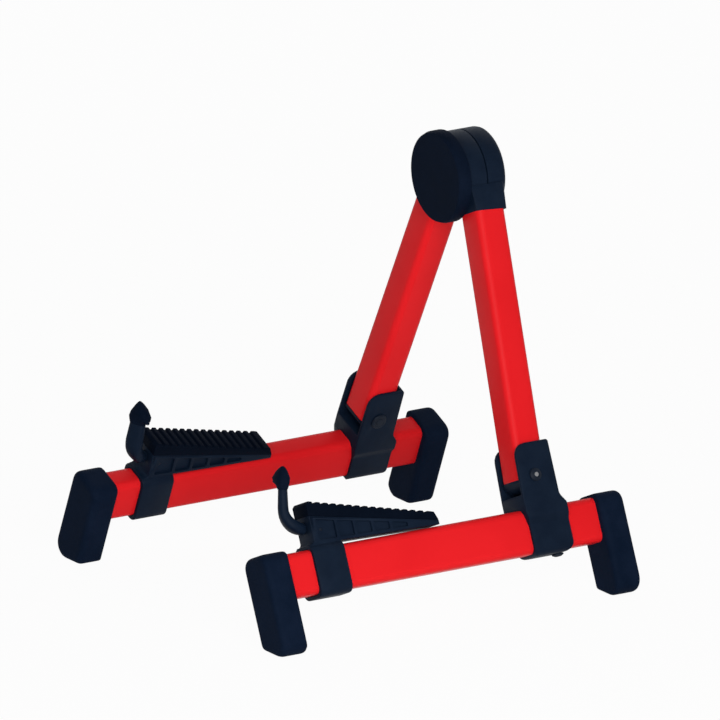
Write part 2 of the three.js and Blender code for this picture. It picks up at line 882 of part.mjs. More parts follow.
const underAt = (y) => bar_top + between(y, under_front_rise, under_rear_rise);
const seatAt = (y) => bar_top + between(y, seat_front_rise, seat_rear_rise);
const crestAt = (y) => bar_top + between(y, pad_front_rise, pad_rear_rise);

// The outline of a recess in the wedge's side, framed by ribs
function panel(y0, y1, low_share, high_share) {
  const at = (y, share) => {
    const low = underAt(y) + panel_frame;
    return low + share * (seatAt(y) - panel_frame - low);
  };
  return rounded([
    [y0, at(y0, low_share), panel_corner],
    [y1, at(y1, low_share), panel_corner],
    [y1, at(y1, high_share), panel_corner],
    [y0, at(y0, high_share), panel_corner],
  ]);
}

const lipPin = {
  y: wedge_front + lip_pin_back,
  z: lip_up - lip_root_radius,
};

// The collar that slides on the bar and the wedge on top of it, one moulding
function cradleSlider() {
  const collar_rear = collar_front + collar_long;
  const width = bar_width + 2 * slide_gap;
  const depth = bar_depth + 2 * slide_gap;
  const collar_up = depth / 2 + collar_wall;
  const band = centredBox(width + 2 * collar_wall, depth + 2 * collar_wall, collar_corner);
  const collar = prismY(band, collar_front, collar_rear, wedge_edge);
  const passage = prismY(
    centredBox(width, depth, bar_corner),
    collar_front - overrun,
    collar_rear + overrun,
  );
  const low = depth / 2 + collar_wall / 4;
  const side = rounded([
    [collar_front + wedge_edge, low],
    [collar_rear, low],
    [collar_rear, underAt(collar_rear)],
    [wedge_rear, underAt(wedge_rear)],
    [wedge_rear, seatAt(wedge_rear)],
    [wedge_front, seatAt(wedge_front)],
    [wedge_front, collar_up, wedge_chin],
    [collar_front + wedge_edge, collar_up],
  ]);
  const half = wedge_width / 2;
  const wedge = prismX(side, -half, half, wedge_edge);
  const first = wedge_front + 2 * panel_frame;
  const last = wedge_rear - panel_end;
  const pitch = (last - collar_rear) / panel_count;
  const panels = [panel(first, collar_rear - panel_frame, 0, 1)];
  for (let i = 0; i < panel_count; i++) {
    const from = collar_rear + i * pitch;
    panels.push(panel(from, from + pitch - panel_frame, 0, 1));
  }
  const recesses = panels.flatMap((outline) => [
    prismX(outline, half - panel_deep, half + overrun),
    prismX(outline, -half - overrun, -half + panel_deep),
  ]);
  const slot_front = wedge_front + tongue_start;
  const slot_rear = wedge_rear - tongue_end;
  const slot = prismX(
    rounded([
      [slot_front, seatAt(slot_front) + overrun],
      [slot_front, seatAt(slot_front) - tongue_tall],
      [slot_rear, seatAt(slot_rear) - tongue_tall],
      [slot_rear, seatAt(slot_rear) + overrun],
    ]),
    -tongue_width / 2,
    tongue_width / 2,
  );
  const bore_rear = wedge_front + lip_root_long + seat_gap;
  const bore = roundBarY(lip_root_radius + bore_gap, collar_front, bore_rear);
  const pin = roundBarX(lip_pin_radius + seat_gap, -half - overrun, half + overrun);
  return cut(
    joined(collar, wedge),
    passage,
    slot,
    bore.translate(0, 0, lip_up),
    pin.translate(0, lipPin.y, lipPin.z),
    ...recesses,
  );
}

// The rubber pad with its cross ribs, held by a tongue in the wedge's slot
function cradlePad() {
  const points = [
    new THREE.Vector2(wedge_front, seatAt(wedge_front) + seat_gap),
    new THREE.Vector2(wedge_rear, seatAt(wedge_rear) + seat_gap),
  ];
  const first = wedge_front + pad_nose / 2;
  const pitch = (wedge_rear - pad_toe - first) / rib_count;
  const flank = pitch * rib_flank_share;
  for (let i = rib_count - 1; i >= 0; i--) {
    const y = first + i * pitch;
    const crest = pitch * rib_crest_share;
    const is_last = i === rib_count - 1;
    points.push(new THREE.Vector2(y + pitch, crestAt(y + pitch) - (is_last ? 0 : rib_tall)));
    if (!is_last)
      points.push(new THREE.Vector2(y + crest + 2 * flank, crestAt(y + crest) - rib_tall));
    points.push(new THREE.Vector2(y + crest + flank, crestAt(y + crest)));
    points.push(new THREE.Vector2(y + flank, crestAt(y)));
    if (i > 0) points.push(new THREE.Vector2(y, crestAt(y) - rib_tall));
  }
  points.push(new THREE.Vector2(wedge_front, crestAt(wedge_front) - pad_nose));
  const half = wedge_width / 2;
  const strip = prismX(points, -half, half);
  const y0 = wedge_front + tongue_start + press_gap;
  const y1 = wedge_rear - tongue_end - press_gap;
  const keel = prismX(
    rounded([
      [y0, seatAt(y0) + tongue_tall],
      [y0, seatAt(y0) - tongue_tall + press_gap],
      [y1, seatAt(y1) - tongue_tall + press_gap],
      [y1, seatAt(y1) + tongue_tall],
    ]),
    -tongue_width / 2 + press_gap,
    tongue_width / 2 - press_gap,
  );
  return joined(strip, keel);
}

// The lip's stem, from its root in the wedge to its tip; up runs along the stem
const stem_foot = new THREE.Vector3(0, wedge_front - lip_elbow_ahead, lip_elbow_up);
const stem_run = new THREE.Vector3(lip_stem_out, lip_stem_back, lip_stem_tall);
const stem_long = stem_run.length();
const stem_way = stem_run.clone().normalize();

function stemPoint(along) {
  return stem_foot.clone().addScaledVector(stem_way, along);
}

function twisted(share) {
  const turn = THREE.MathUtils.degToRad(lip_twist_deg) * share;
  return new THREE.Vector3(Math.cos(turn), -Math.sin(turn), 0);
}

// Puts the lip, drawn from its turning axis, in its place
function onLipAxis(geometry) {
  return geometry.rotateY(THREE.MathUtils.degToRad(lip_outward_deg)).translate(0, 0, lip_up);
}

function lipArm() {
  const stations = [];
  const root = lip_root_radius;
  const front = wedge_front - seat_gap;
  const back = new THREE.Vector3(0, -1, 0);
  for (const y of [wedge_front + lip_root_long, front])
    stations.push({
      centre: new THREE.Vector3(0, y, 0),
      tangent: back,
      side: twisted(0),
      wide: root,
      thick: root,
      square: 1,
    });
  const bend = new THREE.CubicBezierCurve3(
    new THREE.Vector3(0, front - root_depth, 0),
    new THREE.Vector3(0, front - lip_elbow_ahead * lip_bend_front_share, 0),
    stem_foot.clone().addScaledVector(stem_way, -lip_elbow_up * lip_bend_up_share),
    stem_foot,
  );
  for (let k = 0; k <= 2 * arc_steps; k++) {
    const share = k / (2 * arc_steps);
    const swell = Math.min(1, share / lip_swell_share);
    const start = root + root_depth;
    const full = lip_half_thick + root_depth * (1 - share);
    stations.push({
      centre: bend.getPoint(share),
      tangent: bend.getTangent(share),
      side: twisted(share),
      wide: THREE.MathUtils.lerp(start, lip_half_width, swell),
      thick: THREE.MathUtils.lerp(start, full, swell),
      square: THREE.MathUtils.lerp(1, lip_square_share, swell),
    });
  }
  const neck = stem_long - lip_cap_tall;
  const wall = lip_cap_wall + press_gap;
  const places = [
    [neck - seat_gap, 0],
    [neck, wall],
    [neck + lip_cap_tall / 2, wall],
    [stem_long - lip_cap_tip - lip_cap_wall, wall + lip_half_width * lip_tip_inset_share],
  ];
  for (const [along, inset] of places)
    stations.push({
      centre: stemPoint(along),
      tangent: stem_way,
      side: twisted(1),
      wide: lip_half_width - inset,
      thick: lip_half_thick - Math.min(inset, wall),
      square: lip_square_share,
    });
  const y = lipPin.y;
  const groove = ring(
    root - lip_pin_radius - bore_gap,
    2 * root,
    y - lip_pin_radius - bore_gap,
    y + lip_pin_radius + bore_gap,
    small_round_steps,
  );
  return onLipAxis(cut(lofted(stations), groove));
}

// The soft cap on the lip, wider than the stem, with a beak that points inward
function lipCap() {
  const neck = stem_long - lip_cap_tall;
  const outer = lip_cap_shares.map(([share, width, thickness, inward, twist]) => ({
    centre: stemPoint(neck + share * lip_cap_tall).add(
      new THREE.Vector3(-lip_half_width * inward, 0, 0),
    ),
    tangent: stem_way,
    side: twisted(twist),
    wide: lip_half_width * width,
    thick: lip_half_thick * thickness,
    square: lip_square_share,
  }));
  const inner = [];
  const wall = lip_cap_wall;
  const places = [
    [neck - overrun, wall],
    [neck + lip_cap_tall / 2 + seat_gap, wall],
    [stem_long - lip_cap_tip - lip_cap_wall + seat_gap, wall + lip_half_width * lip_tip_inset_share],
  ];
  for (const [along, inset] of places)
    inner.push({
      centre: stemPoint(along),
      tangent: stem_way,
      side: twisted(1),
      wide: lip_half_width - inset,
      thick: lip_half_thick - wall,
      square: lip_square_share,
    });
  const root = stemPoint(stem_long - lip_beak_up);
  const beak_way = new THREE.Vector3(-1, 0, 0);
  const beak = lip_beak_shares.map(([share, width, height]) => ({
    centre: root.clone().addScaledVector(beak_way, lip_beak_long * share),
    tangent: beak_way,
    side: new THREE.Vector3(0, 1, 0),
    wide: lip_beak_tall * width,
    thick: lip_beak_tall * height,
    square: 1,
  }));
  return onLipAxis(cut(joined(lofted(outer), lofted(beak)), lofted(inner)));
}

function lipRetainingPin() {
  const half = wedge_width / 2 - panel_deep - seat_gap;
  return roundBarX(lip_pin_radius, -half, half).translate(0, lipPin.y, lipPin.z);
}

// One leg, with the pieces of the hub that turn with it
function leg(side, hub_pieces) {
  const group = new THREE.Group();
  const put = (name, geometry, material) => add(group, `${side}_${name}`, geometry, material);
  put("foot_bar", footBar(), red_paint);
  put("front_foot", mirroredY(rearFoot()), black_rubber);
  put("rear_foot", rearFoot(), black_rubber);
  put("pivot_bracket", pivotBracket(), black_plastic);
  put("bracket_screw", bracketScrew(), bright_steel);
  put("pivot_pin", pivotPin(), bright_steel);
  put("pin_retainer", pinRetainer(), bright_steel);
  put("outer_pivot_washer", pivotWasher(1), white_nylon);
  put("inner_pivot_washer", pivotWasher(-1), white_nylon);
  put("cradle_slider", cradleSlider(), black_plastic);
  put("cradle_pad", cradlePad(), black_rubber);
  put("lip_arm", lipArm(), black_plastic);
  put("lip_cap", lipCap(), black_rubber);
  put("lip_pin", lipRetainingPin(), bright_steel);
  const upright = new THREE.Group();
  upright.position.set(0, pivot_back, pivot_up);
  upright.rotation.x = -upright_lean;
  add(upright, `${side}_upright_tube`, uprightTube(), red_paint);
  add(upright, `${side}_upright_plug`, uprightPlug(), black_plastic);
  group.add(upright);
  const hub = new THREE.Group();
  hub.position.set(-hub_offset, hub_back, hub_along_leg);
  hub_pieces.forEach(([name, geometry, material]) => add(hub, name, geometry, material));
  group.add(hub);
  group.position.set(bar_spread, 0, bar_height);
  group.rotation.y = -leg_lean;
  return group;
}

const stand = new THREE.Group();
stand.name = "guitar_stand";
stand.add(
  leg("right", [
    ["hub_front_half", hubFrontHalf(), black_plastic],
    ["hub_pad", hubPad(), black_rubber],
    ["hub_bolt", hubBolt(), bright_steel],
  ]),
);

// The left leg is the mirror image of a right one
const other_side = new THREE.Group();
other_side.scale.x = -1;
other_side.add(
  leg("left", [
    ["hub_rear_half", hubRearHalf(), black_plastic],
    ["hub_washer", hubWasher(), white_nylon],
    ["hub_flat_washer", hubFlatWasher(), bright_steel],
    ["hub_nut", hubNut(), bright_steel],
    ["hub_cap", hubCap(), black_plastic],
  ]),
);
stand.add(other_side);

export default stand;
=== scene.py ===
"""A folding guitar stand on a white floor.

Red coated tubes, black mouldings and ribbed rubber pads. Lengths are in metres.
"""

import json
import math

import bmesh
import bpy
from mathutils import Matrix, Vector


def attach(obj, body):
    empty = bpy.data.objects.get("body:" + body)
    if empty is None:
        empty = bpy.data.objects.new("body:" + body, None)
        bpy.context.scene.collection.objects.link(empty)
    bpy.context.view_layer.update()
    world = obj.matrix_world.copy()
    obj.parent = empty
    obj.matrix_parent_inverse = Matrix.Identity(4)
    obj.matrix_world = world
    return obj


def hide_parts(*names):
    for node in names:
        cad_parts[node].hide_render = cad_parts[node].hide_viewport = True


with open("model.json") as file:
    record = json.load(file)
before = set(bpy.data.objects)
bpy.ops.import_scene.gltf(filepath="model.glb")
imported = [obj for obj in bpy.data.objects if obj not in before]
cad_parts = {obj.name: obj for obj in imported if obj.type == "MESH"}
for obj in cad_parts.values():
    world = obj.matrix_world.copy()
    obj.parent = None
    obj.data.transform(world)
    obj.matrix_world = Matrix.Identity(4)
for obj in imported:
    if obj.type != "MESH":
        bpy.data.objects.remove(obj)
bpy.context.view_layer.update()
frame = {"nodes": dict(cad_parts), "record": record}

# Camera, as fitted to the photograph: a long lens from the front right, a little above
AZIMUTH = 58.13
ELEVATION = 16.40
ROLL = 0.314
LOOK_AT = Vector((0.0, 0.020, 0.140))
LOOK_SHIFT = (-0.00834, 0.00645)
FRAME_WIDTH = 0.48125
DISTANCE = 20.0
SENSOR = 20.0
NEAR, FAR = 1.0, 100.0

# How the legs stand, in degrees
LEG_LEAN = 23.6
UPRIGHT_LEAN = 4.28
SIDES = ("left", "right")

# Colours, linear
RED = (0.88, 0.0150, 0.0200, 1)
RED_DEEP = (0.81, 0.0115, 0.0160, 1)
PLASTIC = (0.0032, 0.0086, 0.0208, 1)
PLASTIC_LIGHT = (0.0066, 0.0140, 0.0296, 1)
RUBBER = (0.0022, 0.0056, 0.0145, 1)
RUBBER_LIGHT = (0.0050, 0.0098, 0.0230, 1)
STEEL = (0.62, 0.63, 0.65, 1)
BLACKENED = (0.0040, 0.0075, 0.0150, 1)
NYLON = (0.70, 0.70, 0.66, 1)
WHITE = (1, 1, 1, 1)
FLOOR_GREY = (0.92, 0.92, 0.92, 1)

# Levels of the rubber colours on the feet and on the ribbed pads, of the steel colour of the
# painted highlight on a pivot pin's head, and the radius of that painted highlight
FOOT_LEVEL = 1.5
RIBS_LEVEL = 0.6
PIN_HIGHLIGHT_LEVEL = 0.4
PIN_HIGHLIGHT_RADIUS = 0.0015

# Edge rounding of each kind of moulding, and the angle in degrees from which an edge counts
EDGES = {
    "foot_bar": (0.0, 30),
    "upright_tube": (0.0, 30),
    "pivot_bracket": (0.0007, 32),
    "cradle_slider": (0.0005, 32),
    "cradle_pad": (0.00045, 30),
    "lip_cap": (0.0004, 40),
    "lip_arm": (0.0004, 40),
    "half": (0.0006, 35),
    "hub_pad": (0.0005, 30),
    "hub_cap": (0.0003, 30),
}
OTHER_EDGE = (0.0002, 30)
EDGE_STEPS = 3

# Points this close are one, faces within FLAT degrees are one, edges past SHARP stay sharp
WELD = 2e-6
FLAT = 0.6
SHARP = 38

# The feet are soft blocks, rounded all over: cell of their fine mesh, and how it is smoothed
FOOT_CELL = 0.0008
FOOT_SMOOTHING = 0.5
FOOT_PASSES = 9

# The lower end of each upright is cut off and made black plastic, as a piece of its own: where
# the cut lies from the pivot, along the tube, and how far the black end stands proud
BLACK_END_TOP = -0.002
BLACK_END_PROUD = 0.00025

# The hub's shoulders narrow between these heights from the hub's axis to the uprights' depth,
# outside the hub's own disc and within reach of the upright's axis
SHOULDER_TOP = -0.012
SHOULDER_LOW = -0.031
SHOULDER_REACH = 0.014
HUB_DISC = 0.0285
UPRIGHT_DEPTH = 0.0223
SHOULDER_INSET = 0.0001

# What lies this close behind the hub pad's face is brought level with it
PAD_DISH = 0.001

# The lips' caps: width by share of their height, narrow at the neck and at the tip, how much
# the tip rises, how far the neck's narrowing runs down the arm, and half a ring's height
CAP_WIDTHS = [(0.0, 0.84), (0.25, 1.0), (0.45, 1.06), (0.65, 0.98), (0.85, 0.74), (1.0, 0.5)]
CAP_RISE = 0.0015
NECK_LONG = 0.008
CAP_RING = 0.0012

# The floor's half width and height, and how much of what it shows is plain white
FLOOR_HALF = 30
FLOOR_LEVEL = -0.0001
FLOOR_WHITE = 0.96

# The light of the surroundings, and the lamps: place, target, size in metres, power in watts
SURROUNDINGS = 0.12
LAMPS = {
    "key": ((1.81, -0.77, 0.60), (0, 0, 0.13), 1.7, 37),
    "fill": ((-1.6, 0.35, 0.9), (0, 0, 0.12), 1.4, 3.5),
    "rim": ((-0.7, 1.7, 1.1), (0, 0, 0.15), 1.2, 4),
}

SLOT = {s["node"]: s["material_slot"] for s in frame["record"]["subparts"]}
BODY = {
    node: body
    for body, nodes in frame["record"]["behaviour"]["bodies"].items()
    for node in nodes
}
JOINT = {joint["name"]: joint for joint in frame["record"]["behaviour"]["joints"]}


def scaled(colour, level):
    """A colour times a level, opaque."""
    return tuple(c * level for c in colour[:3]) + (1,)


def new_material(name):
    material = bpy.data.materials.new(name)
    material.use_nodes = True
    tree = material.node_tree
    return material, tree, tree.nodes["Principled BSDF"]


def noise(tree, scale, detail, roughness=0.5):
    """Noise in object space, in metres, so that grain keeps its real size."""
    place = tree.nodes.new("ShaderNodeTexCoord")
    texture = tree.nodes.new("ShaderNodeTexNoise")
    texture.inputs["Scale"].default_value = scale
    texture.inputs["Detail"].default_value = detail
    texture.inputs["Roughness"].default_value = roughness
    tree.links.new(place.outputs["Object"], texture.inputs["Vector"])
    return texture.outputs["Fac"]


def ramp(tree, source, stops):
    """A colour that runs between two stops, each a position and a colour."""
    node = tree.nodes.new("ShaderNodeValToRGB")
    for element, (position, colour) in zip(node.color_ramp.elements, stops):
        element.position, element.color = position, colour
    tree.links.new(source, node.inputs["Fac"])
    return node.outputs["Color"]


def span(tree, source, low, high):
    """A value from 0 to 1, stretched from low to high."""
    node = tree.nodes.new("ShaderNodeMapRange")
    node.inputs["To Min"].default_value = low
    node.inputs["To Max"].default_value = high
    tree.links.new(source, node.inputs["Value"])
    return node.outputs["Result"]


def bump(tree, shader, layers):
    """Stacks bumps; each layer is a height source and its depth in metres."""
    last = None
    for source, depth in layers:
        node = tree.nodes.new("ShaderNodeBump")
        node.inputs["Strength"].default_value = 1.0
        node.inputs["Distance"].default_value = depth
        tree.links.new(source, node.inputs["Height"])
        if last:
            tree.links.new(last, node.inputs["Normal"])
        last = node.outputs["Normal"]
    tree.links.new(last, shader.inputs["Normal"])


def red_coating():
    """Glossy coating on an extruded tube: faint orange peel and small scuffs."""
    material, tree, shader = new_material("red_coating")
    cloud = noise(tree, scale=14, detail=2)
    colour = ramp(tree, cloud, [(0.30, RED_DEEP), (0.62, RED)])
    tree.links.new(colour, shader.inputs["Base Color"])
    scuff = noise(tree, scale=90, detail=6, roughness=0.7)
    tree.links.new(span(tree, scuff, 0.30, 0.48), shader.inputs["Roughness"])
    shader.inputs["Specular IOR Level"].default_value = 0.08
    bump(tree, shader, [(noise(tree, scale=900, detail=2), 0.00003), (scuff, 0.00004)])
    return material


def moulded_plastic():
    """Black glass-filled nylon: fine spark-eroded grain, faint lighter patches."""
    material, tree, shader = new_material("moulded_plastic")
    cloud = noise(tree, scale=60, detail=5, roughness=0.6)
    colour = ramp(tree, cloud, [(0.35, PLASTIC), (0.75, PLASTIC_LIGHT)])
    tree.links.new(colour, shader.inputs["Base Color"])
    tree.links.new(span(tree, cloud, 0.40, 0.60), shader.inputs["Roughness"])
    shader.inputs["Specular IOR Level"].default_value = 0.05
    grain, wave = noise(tree, scale=2200, detail=2), noise(tree, scale=240, detail=3)
    bump(tree, shader, [(grain, 0.00008), (wave, 0.00005)])
    return material


def soft_rubber(name="soft_rubber", level=1.0):
    """Black rubber: dull, with a slight bloom and a coarse grain."""
    material, tree, shader = new_material(name)
    cloud = noise(tree, scale=45, detail=6, roughness=0.65)
    dark, pale = scaled(RUBBER, level), scaled(RUBBER_LIGHT, level)
    colour = ramp(tree, cloud, [(0.32, dark), (0.78, pale)])
    tree.links.new(colour, shader.inputs["Base Color"])
    tree.links.new(span(tree, cloud, 0.55, 0.80), shader.inputs["Roughness"])
    shader.inputs["Specular IOR Level"].default_value = 0.02
    grain, wave = noise(tree, scale=1400, detail=3), noise(tree, scale=160, detail=4)
    bump(tree, shader, [(grain, 0.00012), (wave, 0.00010)])
    return material


def plated_steel():
    """Bright plated steel, slightly uneven."""
    material, tree, shader = new_material("plated_steel")
    cloud = noise(tree, scale=300, detail=4)
    colour = ramp(tree, cloud, [(0.3, scaled(STEEL, 0.8)), (0.7, STEEL)])
    tree.links.new(colour, shader.inputs["Base Color"])
    tree.links.new(span(tree, cloud, 0.22, 0.42), shader.inputs["Roughness"])
    shader.inputs["Metallic"].default_value = 1.0
    bump(tree, shader, [(noise(tree, scale=1500, detail=3), 0.00002)])
    return material


def near_spot(tree, spot, radius):
    """One within a radius of a spot, else zero."""
    place = tree.nodes.new("ShaderNodeTexCoord")
    away = tree.nodes.new("ShaderNodeVectorMath")
    away.operation = "DISTANCE"
    away.inputs[1].default_value = spot
    near = tree.nodes.new("ShaderNodeMath")
    near.operation = "LESS_THAN"
    near.inputs[1].default_value = radius
    tree.links.new(place.outputs["Object"], away.inputs[0])
    tree.links.new(away.outputs["Value"], near.inputs[0])
    return near.outputs[0]


def colour_socket(sockets, name):
    return next(s for s in sockets if s.name == name and s.type == "RGBA")


def dark_steel(name="dark_steel", spot=None):
    """Blackened steel, with a highlight painted as a pale disc round the spot if one is given.
    """
    material, tree, shader = new_material(name)
    cloud = noise(tree, scale=300, detail=4)
    colour = ramp(tree, cloud, [(0.3, BLACKENED), (0.7, scaled(BLACKENED, 1.6))])
    tree.links.new(span(tree, cloud, 0.42, 0.58), shader.inputs["Roughness"])
    shader.inputs["Specular IOR Level"].default_value = 0.1
    # Painted highlight: a pale steel-coloured disc round the spot
    if spot is not None:
        mix = tree.nodes.new("ShaderNodeMix")
        mix.data_type = "RGBA"
        tree.links.new(near_spot(tree, spot, PIN_HIGHLIGHT_RADIUS), mix.inputs["Factor"])
        tree.links.new(colour, colour_socket(mix.inputs, "A"))
        colour_socket(mix.inputs, "B").default_value = scaled(STEEL, PIN_HIGHLIGHT_LEVEL)
        colour = colour_socket(mix.outputs, "Result")
    tree.links.new(colour, shader.inputs["Base Color"])
    bump(tree, shader, [(noise(tree, scale=1500, detail=3), 0.00002)])
    return material


def plain_nylon():
    """White nylon of the washers."""
    material, tree, shader = new_material("plain_nylon")
    cloud = noise(tree, scale=200, detail=4)
    colour = ramp(tree, cloud, [(0.3, scaled(NYLON, 0.9)), (0.7, NYLON)])
    tree.links.new(colour, shader.inputs["Base Color"])
    shader.inputs["Roughness"].default_value = 0.45
    bump(tree, shader, [(noise(tree, scale=900, detail=3), 0.00003)])
    return material


MATERIALS = {
    "red_tube": red_coating(),
    "black_plastic": moulded_plastic(),
    "black_rubber": soft_rubber(),
    "bright_steel": plated_steel(),
    "white_nylon": plain_nylon(),
}


def link(obj):
    bpy.context.scene.collection.objects.link(obj)


def paint(obj, material):
    obj.data.materials.clear()
    obj.data.materials.append(material)


def stand_for(obj, node, slot_name):
    """Paints a piece and puts it in place of a CAD node, on that node's body."""
    paint(obj, MATERIALS[slot_name])
    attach(obj, BODY[node])
    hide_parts(node)


def way_of(side):
    return 1 if side == "right" else -1


def outward(side):
    """The leg's own outward direction, square to its plane."""
    lean = math.radians(LEG_LEAN)
    return Vector((way_of(side) * math.cos(lean), 0, math.sin(lean)))


def up_the_tube(side):
    """The direction of an upright's axis, from its pivot to the hub."""
    lean, rest = math.radians(LEG_LEAN), math.radians(UPRIGHT_LEAN)
    inward = -way_of(side) * math.sin(lean) * math.cos(rest)
    return Vector((inward, math.sin(rest), math.cos(lean) * math.cos(rest)))


def pivot(side):
    return Vector(JOINT[side + "_fold"]["pos_m"])


def bake_modifiers(obj):
    graph = bpy.context.evaluated_depsgraph_get()
    mesh = bpy.data.meshes.new_from_object(obj.evaluated_get(graph))
    obj.modifiers.clear()
    obj.data = mesh


def soften(obj):
    """Rebuilds a mesh on a fine grid and smooths it, so that no facet of its corners is left."""
    grid = obj.modifiers.new("grid", "REMESH")
    grid.mode = "VOXEL"
    grid.voxel_size = FOOT_CELL
    soft = obj.modifiers.new("soft", "SMOOTH")
    soft.factor = FOOT_SMOOTHING
    soft.iterations = FOOT_PASSES
    bake_modifiers(obj)


def round_edges(obj, width, angle):
    modifier = obj.modifiers.new("round", "BEVEL")
    modifier.limit_method = "ANGLE"
    modifier.angle_limit = math.radians(angle)
    modifier.width = width
    modifier.segments = EDGE_STEPS
    modifier.use_clamp_overlap = True
    bake_modifiers(obj)


def dressed(node):
    """A smooth copy of a CAD node with its edges rounded, in the node's own place."""
    width, angle = next((v for k, v in EDGES.items() if node.endswith(k)), OTHER_EDGE)
    mesh = bpy.data.meshes.new(node + "_skin")
    bm = bmesh.new()
    bm.from_mesh(frame["nodes"][node].data)
    bmesh.ops.remove_doubles(bm, verts=bm.verts, dist=WELD)
    bmesh.ops.dissolve_limit(
        bm, angle_limit=math.radians(FLAT), verts=bm.verts, edges=bm.edges
    )
    bm.to_mesh(mesh)
    bm.free()
    obj = bpy.data.objects.new(node + "_skin", mesh)
    link(obj)
    if node.endswith("_foot"):
        soften(obj)
    elif width:
        round_edges(obj, width, angle)
    obj.data.polygons.foreach_set("use_smooth", [True] * len(obj.data.polygons))
    obj.data.set_sharp_from_angle(angle=math.radians(SHARP))
    stand_for(obj, node, SLOT[node])
    return obj


def add_black_end(side):
    """Cuts the lower end off an upright's skin and makes it a black piece of its own."""
    node = side + "_upright_tube"
    skin = skins[node]
    axis = up_the_tube(side)
    lower = bmesh.new()
    lower.from_mesh(skin.data)
    upper = lower.copy()
    for bm, keep_above in ((upper, True), (lower, False)):
        bmesh.ops.bisect_plane(
            bm,
            geom=bm.verts[:] + bm.edges[:] + bm.faces[:],
            plane_co=pivot(side) + axis * BLACK_END_TOP,
            plane_no=axis,
            clear_inner=keep_above,
            clear_outer=not keep_above,
        )
    lower.normal_update()
    for vert in lower.verts:
        vert.co += vert.normal * BLACK_END_PROUD
    upper.to_mesh(skin.data)
    mesh = bpy.data.meshes.new(side + "_upright_boot")
    lower.to_mesh(mesh)
    upper.free()
    lower.free()
    black_end = bpy.data.objects.new(side + "_upright_boot", mesh)
    link(black_end)
    stand_for(black_end, node, "black_plastic")


def narrow_shoulder(node, side):
    """Draws the faces of a hub half in to the upright's depth, where the upright enters it."""
    hub = Vector(JOINT["hub_hinge"]["pos_m"])
    axis, root = up_the_tube(side), pivot(side)
    half = UPRIGHT_DEPTH / 2 - SHOULDER_INSET
    for vert in skins[node].data.vertices:
        drop = vert.co.z - hub.z
        middle = root + axis * (vert.co - root).dot(axis)
        across = abs((vert.co - middle).dot(outward(side)))
        share = min(1.0, (SHOULDER_TOP - drop) / (SHOULDER_TOP - SHOULDER_LOW))
        in_disc = math.hypot(vert.co.x - hub.x, drop) < HUB_DISC
        if share <= 0 or in_disc or across > SHOULDER_REACH:
            continue
        depth = vert.co.y - middle.y
        if abs(depth) > half:
            target = math.copysign(half, depth)
            vert.co.y = middle.y + depth + (target - depth) * share


def cap_width(share):
    """The width of a cap by share of its height; below 0, of the arm by share of the neck."""
    if share < 0:
        return 1 + (CAP_WIDTHS[0][1] - 1) * max(0.0, 1 + share)
    for (low, a), (high, b) in zip(CAP_WIDTHS, CAP_WIDTHS[1:]):
        if share <= high:
            return a + (b - a) * (share - low) / (high - low)
    return CAP_WIDTHS[-1][1]


def shape_lip(side):
    """Narrows a lip's neck and tip and raises the tip a little."""
    cap = skins[side + "_lip_cap"].data.vertices
    arm = skins[side + "_lip_arm"].data.vertices
    low, high = (end(vert.co.z for vert in cap) for end in (min, max))

    def middle(z):
        ring = [vert.co for vert in cap if abs(vert.co.z - z) < CAP_RING]
        return sum(ring, Vector()) / len(ring)

    foot, tip = middle(low), middle(high)
    for vert in list(cap) + list(arm):
        share = (vert.co.z - low) / (high - low)
        below = (vert.co.z - low) / NECK_LONG
        if below <= -1:
            continue
        centre = foot.lerp(tip, share)
        width = cap_width(share if share >= 0 else below)
        vert.co.x = centre.x + (vert.co.x - centre.x) * width
        vert.co.y = centre.y + (vert.co.y - centre.y) * width
        vert.co.z += CAP_RISE * max(0.0, share) ** 2


skins = {name: dressed(name) for name in sorted(frame["nodes"])}
for side in SIDES:
    add_black_end(side)
    shape_lip(side)
narrow_shoulder("hub_front_half", "right")
narrow_shoulder("hub_rear_half", "left")

# The face of the hub's pad is plain
pad = skins["hub_pad"].data
pad_face = min(vert.co.y for vert in pad.vertices)
for vert in pad.vertices:
    if vert.co.y < pad_face + PAD_DISH:
        vert.co.y = pad_face

# The feet are a little paler than the other rubber, the ribbed pads darker
foot_rubber = soft_rubber("foot_rubber", FOOT_LEVEL)
rib_rubber = soft_rubber("rib_rubber", RIBS_LEVEL)
for name, skin in skins.items():
    if name.endswith("_foot"):
        paint(skin, foot_rubber)
    elif name.endswith("_cradle_pad"):
        paint(skin, rib_rubber)

# Pins, their retainers and the screws under the brackets are dark; the middle of a pivot
# pin's head carries a painted highlight, a pale disc
blackened = dark_steel()
for side in SIDES:
    for tail in ("_pin_retainer", "_bracket_screw", "_lip_pin"):
        paint(skins[side + tail], blackened)
    pin = skins[side + "_pivot_pin"]
    reach = max((vert.co - pivot(side)).dot(outward(side)) for vert in pin.data.vertices)
    paint(pin, dark_steel(side + "_pin_head", pivot(side) + outward(side) * reach))


def seen_plainly(tree):
    """One where the camera, a reflection or a refraction looks at a surface, else zero."""
    path = tree.nodes.new("ShaderNodeLightPath")
    last = path.outputs["Is Camera Ray"]
    for ray in ("Is Glossy Ray", "Is Transmission Ray"):
        either = tree.nodes.new("ShaderNodeMath")
        either.operation = "MAXIMUM"
        tree.links.new(last, either.inputs[0])
        tree.links.new(path.outputs[ray], either.inputs[1])
        last = either.outputs[0]
    return last


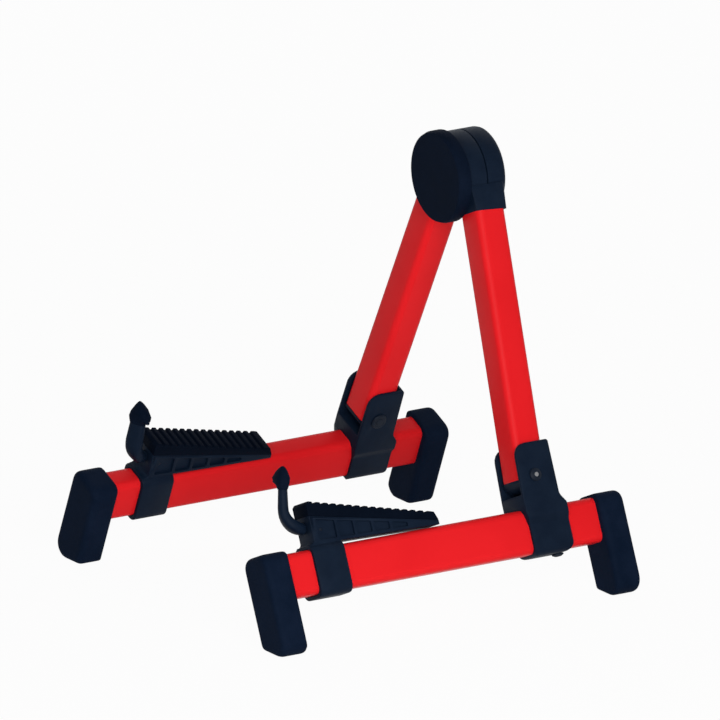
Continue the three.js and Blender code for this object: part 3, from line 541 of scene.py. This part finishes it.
# Floor: white where the camera looks, so that only a soft contact shadow shows
corners = [(-1, -1), (1, -1), (1, 1), (-1, 1)]
floor_mesh = bpy.data.meshes.new("floor")
floor_mesh.from_pydata(
    [(x * FLOOR_HALF, y * FLOOR_HALF, FLOOR_LEVEL) for x, y in corners], [], [(0, 1, 2, 3)]
)
floor = bpy.data.objects.new("floor", floor_mesh)
link(floor)
floor_material, floor_tree, floor_shader = new_material("white_floor")
floor_shader.inputs["Base Color"].default_value = FLOOR_GREY
floor_shader.inputs["Roughness"].default_value = 0.9
floor_shader.inputs["Specular IOR Level"].default_value = 0.1
glow = floor_tree.nodes.new("ShaderNodeEmission")
glow.inputs["Color"].default_value = WHITE
glow.inputs["Strength"].default_value = 1.0
part_white = floor_tree.nodes.new("ShaderNodeMath")
part_white.operation = "MULTIPLY"
part_white.inputs[1].default_value = FLOOR_WHITE
floor_mix = floor_tree.nodes.new("ShaderNodeMixShader")
floor_out = floor_tree.nodes["Material Output"]
floor_tree.links.new(seen_plainly(floor_tree), part_white.inputs[0])
floor_tree.links.new(part_white.outputs[0], floor_mix.inputs["Fac"])
floor_tree.links.new(floor_shader.outputs["BSDF"], floor_mix.inputs[1])
floor_tree.links.new(glow.outputs["Emission"], floor_mix.inputs[2])
floor_tree.links.new(floor_mix.outputs[0], floor_out.inputs["Surface"])
floor.data.materials.append(floor_material)

# Surroundings: dim as a light, white where they are seen
world = bpy.data.worlds.new("studio")
bpy.context.scene.world = world
world.use_nodes = True
world_tree = world.node_tree
dim = world_tree.nodes["Background"]
dim.inputs["Color"].default_value = WHITE
dim.inputs["Strength"].default_value = SURROUNDINGS
bright = world_tree.nodes.new("ShaderNodeBackground")
bright.inputs["Color"].default_value = WHITE
bright.inputs["Strength"].default_value = 1.0
world_mix = world_tree.nodes.new("ShaderNodeMixShader")
world_out = world_tree.nodes["World Output"]
world_tree.links.new(seen_plainly(world_tree), world_mix.inputs["Fac"])
world_tree.links.new(dim.outputs[0], world_mix.inputs[1])
world_tree.links.new(bright.outputs[0], world_mix.inputs[2])
world_tree.links.new(world_mix.outputs[0], world_out.inputs["Surface"])

for name, (place, target, size, power) in LAMPS.items():
    data = bpy.data.lights.new(name, "AREA")
    data.shape = "DISK"
    data.size = size
    data.energy = power
    lamp = bpy.data.objects.new(name, data)
    lamp.location = place
    lamp.rotation_mode = "QUATERNION"
    lamp.rotation_quaternion = (Vector(target) - Vector(place)).to_track_quat("-Z", "Y")
    link(lamp)

# The camera
a, e, r = (math.radians(v) for v in (AZIMUTH, ELEVATION, ROLL))
back = Vector((math.sin(a) * math.cos(e), -math.cos(a) * math.cos(e), math.sin(e)))
level = Vector((math.cos(a), math.sin(a), 0))
upward = Vector((-math.sin(a) * math.sin(e), math.cos(a) * math.sin(e), math.cos(e)))
right = level * math.cos(r) - upward * math.sin(r)
up = level * math.sin(r) + upward * math.cos(r)
look_at = LOOK_AT + right * LOOK_SHIFT[0] + up * LOOK_SHIFT[1]
lens = bpy.data.cameras.new("camera")
lens.sensor_width = SENSOR
lens.lens = SENSOR * DISTANCE / FRAME_WIDTH
lens.clip_start, lens.clip_end = NEAR, FAR
camera = bpy.data.objects.new("camera", lens)
turn = Matrix((right, up, back)).transposed().to_4x4()
camera.matrix_world = Matrix.Translation(look_at + back * DISTANCE) @ turn
link(camera)
bpy.context.scene.camera = camera
bpy.context.scene.view_settings.view_transform = "Standard"
